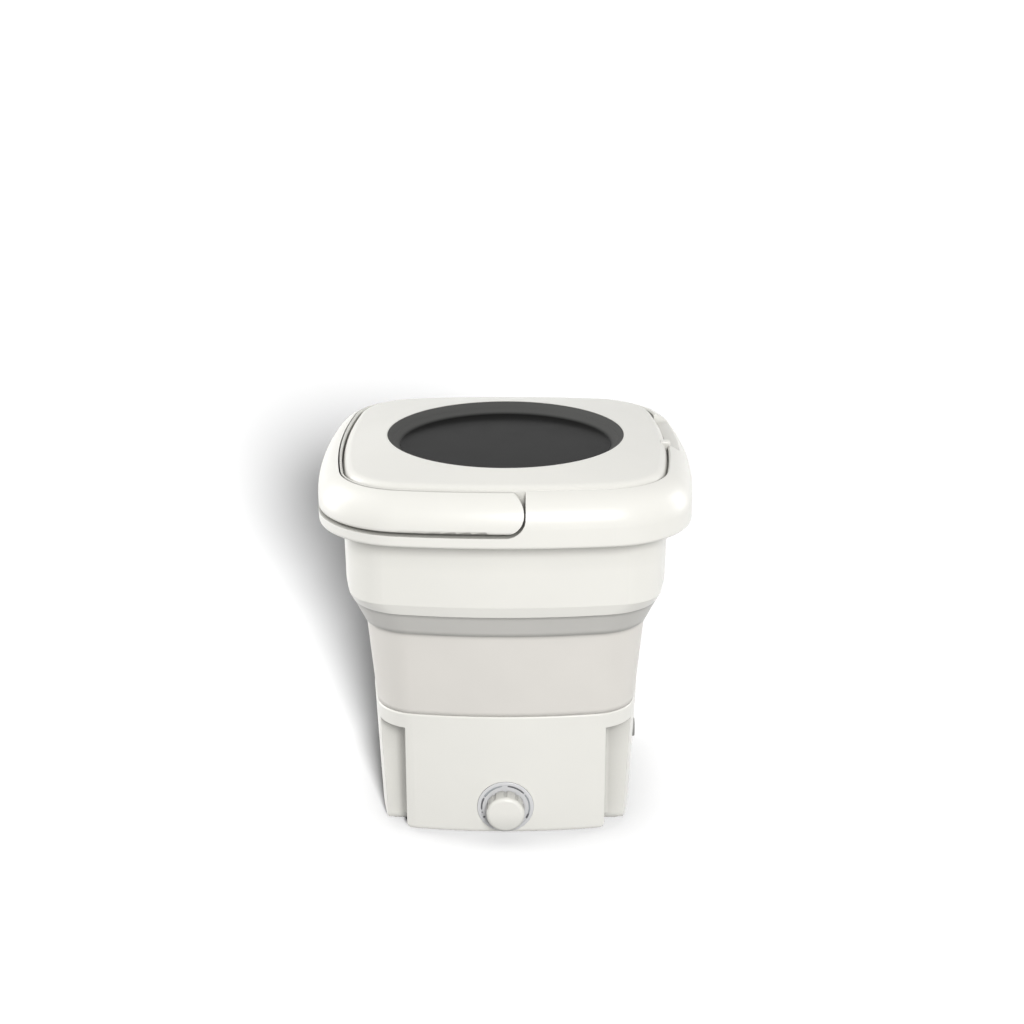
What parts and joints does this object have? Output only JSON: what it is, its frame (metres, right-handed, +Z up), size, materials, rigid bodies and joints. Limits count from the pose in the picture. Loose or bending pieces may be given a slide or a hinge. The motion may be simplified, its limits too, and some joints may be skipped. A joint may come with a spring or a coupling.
{
  "type": "foldable washing machine",
  "caption": "Small tub washer that folds flat: rounded-square pail on a base with timer knob, soft folding wall, swing-up bail handle and lift-off windowed lid.",
  "frame": {"origin": "on the floor, under the centre of the tub", "axes": "+Z up, -Y the front with the timer knob, +X the drain plug's side, opposite the carry handle"},
  "size_m": [0.3, 0.3, 0.309],
  "materials": {
    "cream_plastic": "smooth warm white moulding with a soft sheen",
    "soft_wall": "matt warm light grey silicone",
    "window_plastic": "polished dark tinted clear plastic",
    "grey_plastic": "satin light grey moulding",
    "switch_plastic": "black moulding",
    "seal_rubber": "matt grey rubber",
    "foot_rubber": "matt dark grey rubber",
    "belt_rubber": "matt black rubber",
    "steel": "turned stainless steel",
    "brass": "turned brass",
    "cast_aluminium": "die cast aluminium",
    "zinc_steel": "zinc plated sheet steel",
    "board": "green lacquered circuit board"
  },
  "bodies": {
    "base": {"base_shell": "cream_plastic", "bottom_cover": "cream_plastic", "cover_screws": "steel", "rubber_feet": "foot_rubber", "tub_pan": "cream_plastic", "pan_screws": "steel", "folding_wall": "soft_wall", "dial_ring": "grey_plastic", "timer_switch": "switch_plastic", "switch_nut": "steel", "bearing_housing": "cast_aluminium", "housing_screws": "steel", "lower_bearing": "steel", "upper_bearing": "steel", "shaft_seal": "seal_rubber", "drive_belt": "belt_rubber", "motor_can": "zinc_steel", "motor_bracket": "zinc_steel", "bracket_screws": "steel", "motor_screws": "steel", "drain_elbow": "grey_plastic", "drain_nut": "grey_plastic", "drain_strainer": "steel", "power_inlet": "switch_plastic", "inlet_nut": "steel", "control_board": "board", "board_screws": "steel"},
    "upper": {"rim_cover": "cream_plastic", "rim_screws": "steel", "handle_pivot_pins": "steel", "upper_collar": "cream_plastic", "upper_clamp_ring": "cream_plastic"},
    "handle": {"carry_handle": "cream_plastic", "handle_inner_plate": "cream_plastic"},
    "lid": {"lid_frame": "cream_plastic", "lid_window": "window_plastic", "window_gasket": "seal_rubber", "lid_gasket": "seal_rubber"},
    "knob": {"timer_knob": "cream_plastic", "switch_shaft": "brass"},
    "pulsator_group": {"pulsator": "grey_plastic", "pulsator_screw": "steel", "pulsator_cap": "grey_plastic", "drive_shaft": "steel", "driven_pulley": "grey_plastic"},
    "motor_rotor": {"motor_pulley": "cast_aluminium", "motor_shaft": "steel"},
    "plug": {"drain_plug": "seal_rubber"}
  },
  "joints": [
    {"name": "tub_fold", "type": "slide", "parent": "base", "child": "upper", "axis": [0, 0, -1], "range_m": [0, 0.137], "deforming": ["folding_wall"]},
    {"name": "handle_swing", "type": "hinge", "parent": "upper", "child": "handle", "pos_m": [-0.001, 0, 0.2883], "axis": [0, 1, 0], "range_deg": [0, 90]},
    {"name": "lid_lift", "type": "slide", "parent": "upper", "child": "lid", "axis": [0, 0, 1], "range_m": [0, 0.03]},
    {"name": "timer_turn", "type": "hinge", "parent": "base", "child": "knob", "pos_m": [0, -0.1054, 0.0263], "axis": [0, 0.9988, 0.0495], "range_deg": [0, 240]},
    {"name": "pulsator_spin", "type": "hinge", "parent": "base", "child": "pulsator_group", "pos_m": [0, 0, 0.04], "axis": [0, 0, 1], "continuous": true},
    {"name": "motor_spin", "type": "hinge", "parent": "base", "child": "motor_rotor", "pos_m": [0, 0.06, 0.02], "axis": [0, 0, 1], "continuous": true},
    {"name": "plug_pull", "type": "slide", "parent": "base", "child": "plug", "axis": [1, 0, 0], "range_m": [0, 0.014]}
  ],
  "couplings": [
    {"joint": "motor_spin", "follows": "pulsator_spin", "ratio": 4.0573}
  ]
}
